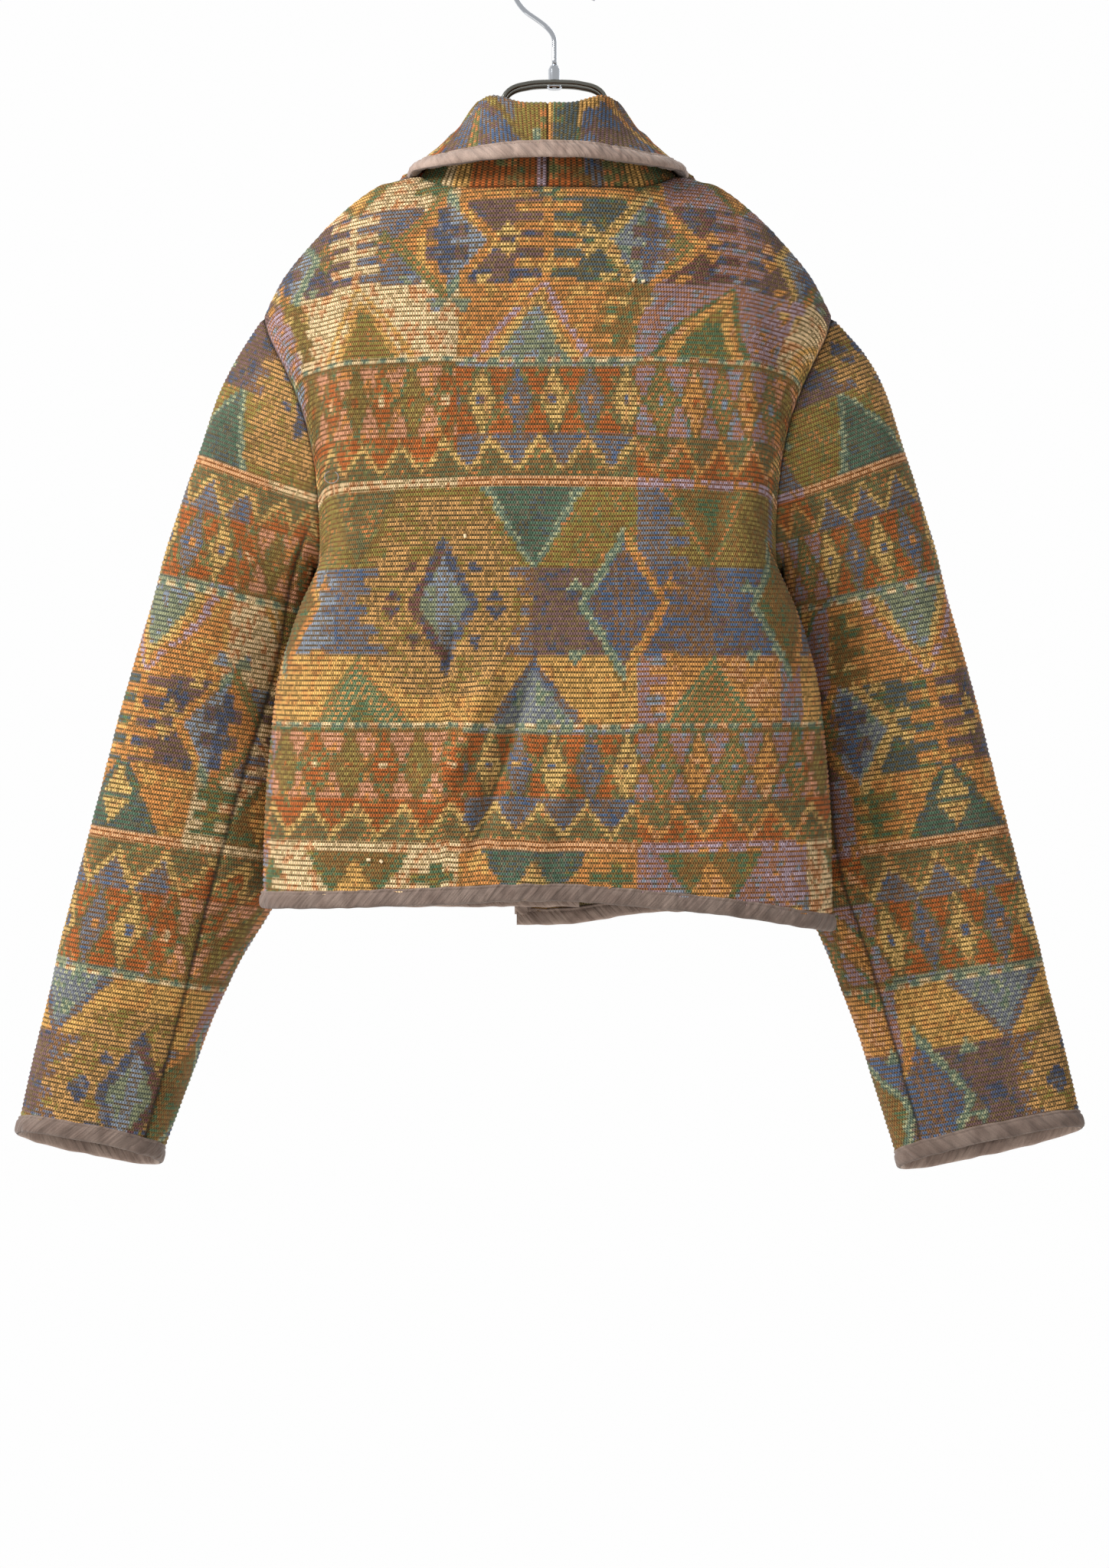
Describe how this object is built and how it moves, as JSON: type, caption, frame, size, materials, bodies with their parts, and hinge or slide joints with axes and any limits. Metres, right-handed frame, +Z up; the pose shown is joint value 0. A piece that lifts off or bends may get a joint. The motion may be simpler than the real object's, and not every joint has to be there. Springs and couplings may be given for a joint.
{
  "type": "tapestry jacket on a hanger",
  "caption": "Cropped boxy jacket of ribbed tapestry cloth with a shawl collar and bound edges, hung on a steel wire hanger.",
  "frame": {"origin": "inside top of the hanger's hook, where a rail carries it", "axes": "+Z up, the garment's front faces -Y and its back faces +Y, +X towards the wearer's left sleeve"},
  "size_m": [0.8014, 0.1716, 0.9165],
  "materials": {
    "tapestry": "thick ribbed weave in many colours, matt with a soft nap",
    "binding": "taupe bias strip, fine weave, lightly puckered",
    "steel": "bright plated wire"
  },
  "bodies": {
    "root": {"back": "tapestry", "front_left": "tapestry", "front_right": "tapestry", "sleeve_left": "tapestry", "sleeve_right": "tapestry", "collar_left": "tapestry", "collar_right": "tapestry", "binding_hem": "binding", "binding_collar": "binding", "binding_front_left": "binding", "binding_cuff_left": "binding", "binding_front_right": "binding", "binding_cuff_right": "binding", "hanger_rods": "steel", "hanger_ferrule": "steel", "hanger_hook": "steel"}
  },
  "joints": []
}
